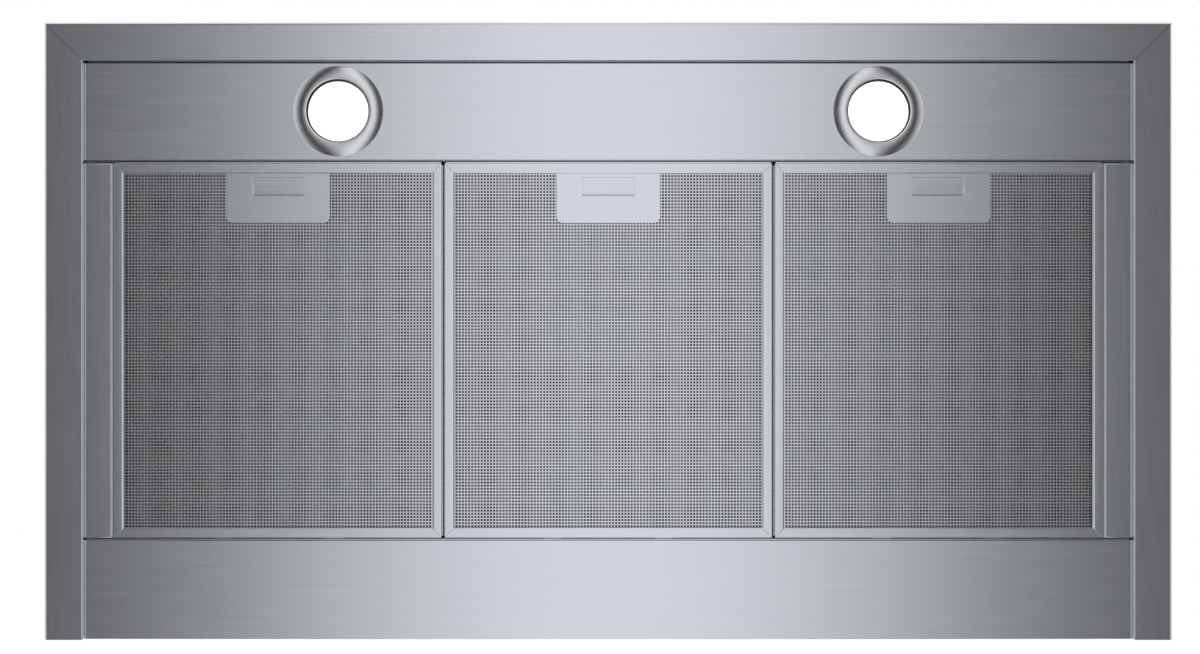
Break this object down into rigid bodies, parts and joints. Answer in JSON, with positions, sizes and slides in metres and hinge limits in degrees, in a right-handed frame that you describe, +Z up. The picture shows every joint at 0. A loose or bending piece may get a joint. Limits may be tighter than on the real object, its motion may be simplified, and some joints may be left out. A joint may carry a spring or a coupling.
{
  "type": "pyramid range hood",
  "caption": "Wall-mounted pyramid range hood with mesh grease filters that tilt down, spotlights, a push-button blower and a telescopic chimney cover.",
  "frame": {"origin": "centre of the canopy's footprint, level with the underside of its rim", "axes": "+X to the right seen from the front, +Y towards the wall, +Z up"},
  "size_m": [0.914, 0.5, 0.85],
  "materials": {
    "brushed_sheet": "stainless steel brushed left to right",
    "filter_frame": "satin stainless steel",
    "handle_plate": "stainless steel brushed left to right",
    "wire_mesh": "woven bright wire",
    "lamp_ring": "polished",
    "lens": "opal, lit",
    "zinc_sheet": "galvanised sheet",
    "black_plastic": "moulded, fine grain",
    "grey_plastic": "moulded, fine grain",
    "white_plastic": "moulded",
    "motor_case": "dark enamel",
    "button_metal": "turned face",
    "bright_steel": "zinc plated",
    "spring_wire": "bright wire"
  },
  "bodies": {
    "hood": {"canopy_front": "brushed_sheet", "canopy_left": "brushed_sheet", "canopy_right": "brushed_sheet", "back_plate": "zinc_sheet", "top_plate": "zinc_sheet", "lamp_panel": "brushed_sheet", "rear_panel": "brushed_sheet", "left_filler": "brushed_sheet", "right_filler": "brushed_sheet", "left_carrier": "zinc_sheet", "right_carrier": "zinc_sheet", "left_lamp_ring": "lamp_ring", "right_lamp_ring": "lamp_ring", "left_lamp_body": "black_plastic", "right_lamp_body": "black_plastic", "left_lamp_lens": "lens", "right_lamp_lens": "lens", "scroll_left": "zinc_sheet", "scroll_right": "zinc_sheet", "motor_bracket": "zinc_sheet", "inlet_guard": "black_plastic", "motor": "motor_case", "outlet_collar": "black_plastic", "junction_box": "zinc_sheet", "junction_box_lid": "zinc_sheet", "cable_gland": "black_plastic", "motor_capacitor": "white_plastic", "lamp_driver": "white_plastic", "switch_block": "black_plastic", "button_bezel": "black_plastic", "lower_cover": "brushed_sheet", "cover_screws": "bright_steel", "blower_screws": "bright_steel"},
    "left_filter": {"left_filter_frame": "filter_frame", "left_filter_mesh": "wire_mesh", "left_latch_guide": "black_plastic", "left_latch_spring": "spring_wire"},
    "left_latch_slide": {"left_latch": "handle_plate"},
    "centre_filter": {"centre_filter_frame": "filter_frame", "centre_filter_mesh": "wire_mesh", "centre_latch_guide": "black_plastic", "centre_latch_spring": "spring_wire"},
    "centre_latch_slide": {"centre_latch": "handle_plate"},
    "right_filter": {"right_filter_frame": "filter_frame", "right_filter_mesh": "wire_mesh", "right_latch_guide": "black_plastic", "right_latch_spring": "spring_wire"},
    "right_latch_slide": {"right_latch": "handle_plate"},
    "rotor": {"impeller": "black_plastic", "rotor_shaft": "bright_steel"},
    "front_flap": {"front_flap": "grey_plastic"},
    "rear_flap": {"rear_flap": "grey_plastic"},
    "upper_chimney": {"upper_cover": "brushed_sheet", "ceiling_bracket": "zinc_sheet", "bracket_screws": "bright_steel"},
    "light_button": {"light_button": "button_metal"},
    "off_button": {"off_button": "button_metal"},
    "low_button": {"low_button": "button_metal"},
    "medium_button": {"medium_button": "button_metal"},
    "high_button": {"high_button": "button_metal"}
  },
  "joints": [
    {"name": "left_filter_tilt", "type": "hinge", "parent": "hood", "child": "left_filter", "pos_m": [-0.268, 0.1666, 0.0042], "axis": [1, 0, 0], "range_deg": [0, 75]},
    {"name": "left_latch_travel", "type": "slide", "parent": "left_filter", "child": "left_latch_slide", "axis": [0, 1, 0], "range_m": [-0.0045, 0], "stiffness_N_per_m": 300, "springref_m": -0.012, "deforming": ["left_latch_spring"]},
    {"name": "centre_filter_tilt", "type": "hinge", "parent": "hood", "child": "centre_filter", "pos_m": [0, 0.1666, 0.0042], "axis": [1, 0, 0], "range_deg": [0, 75]},
    {"name": "centre_latch_travel", "type": "slide", "parent": "centre_filter", "child": "centre_latch_slide", "axis": [0, 1, 0], "range_m": [-0.0045, 0], "stiffness_N_per_m": 300, "springref_m": -0.012, "deforming": ["centre_latch_spring"]},
    {"name": "right_filter_tilt", "type": "hinge", "parent": "hood", "child": "right_filter", "pos_m": [0.268, 0.1666, 0.0042], "axis": [1, 0, 0], "range_deg": [0, 75]},
    {"name": "right_latch_travel", "type": "slide", "parent": "right_filter", "child": "right_latch_slide", "axis": [0, 1, 0], "range_m": [-0.0045, 0], "stiffness_N_per_m": 300, "springref_m": -0.012, "deforming": ["right_latch_spring"]},
    {"name": "impeller_spin", "type": "hinge", "parent": "hood", "child": "rotor", "pos_m": [0, 0.0575, 0.1415], "axis": [1, 0, 0], "continuous": true},
    {"name": "front_flap_swing", "type": "hinge", "parent": "hood", "child": "front_flap", "pos_m": [0, 0.11, 0.2595], "axis": [-1, 0, 0], "range_deg": [0, 80]},
    {"name": "rear_flap_swing", "type": "hinge", "parent": "hood", "child": "rear_flap", "pos_m": [0, 0.115, 0.2595], "axis": [1, 0, 0], "range_deg": [0, 80]},
    {"name": "chimney_height", "type": "slide", "parent": "hood", "child": "upper_chimney", "axis": [0, 0, 1], "range_m": [-0.2, 0.1]},
    {"name": "light_button_press", "type": "slide", "parent": "hood", "child": "light_button", "axis": [0, 1, 0], "range_m": [0, 0.0025], "stiffness_N_per_m": 400, "springref_m": -0.001},
    {"name": "off_button_press", "type": "slide", "parent": "hood", "child": "off_button", "axis": [0, 1, 0], "range_m": [0, 0.0025], "stiffness_N_per_m": 400, "springref_m": -0.001},
    {"name": "low_button_press", "type": "slide", "parent": "hood", "child": "low_button", "axis": [0, 1, 0], "range_m": [0, 0.0025], "stiffness_N_per_m": 400, "springref_m": -0.001},
    {"name": "medium_button_press", "type": "slide", "parent": "hood", "child": "medium_button", "axis": [0, 1, 0], "range_m": [0, 0.0025], "stiffness_N_per_m": 400, "springref_m": -0.001},
    {"name": "high_button_press", "type": "slide", "parent": "hood", "child": "high_button", "axis": [0, 1, 0], "range_m": [0, 0.0025], "stiffness_N_per_m": 400, "springref_m": -0.001}
  ]
}
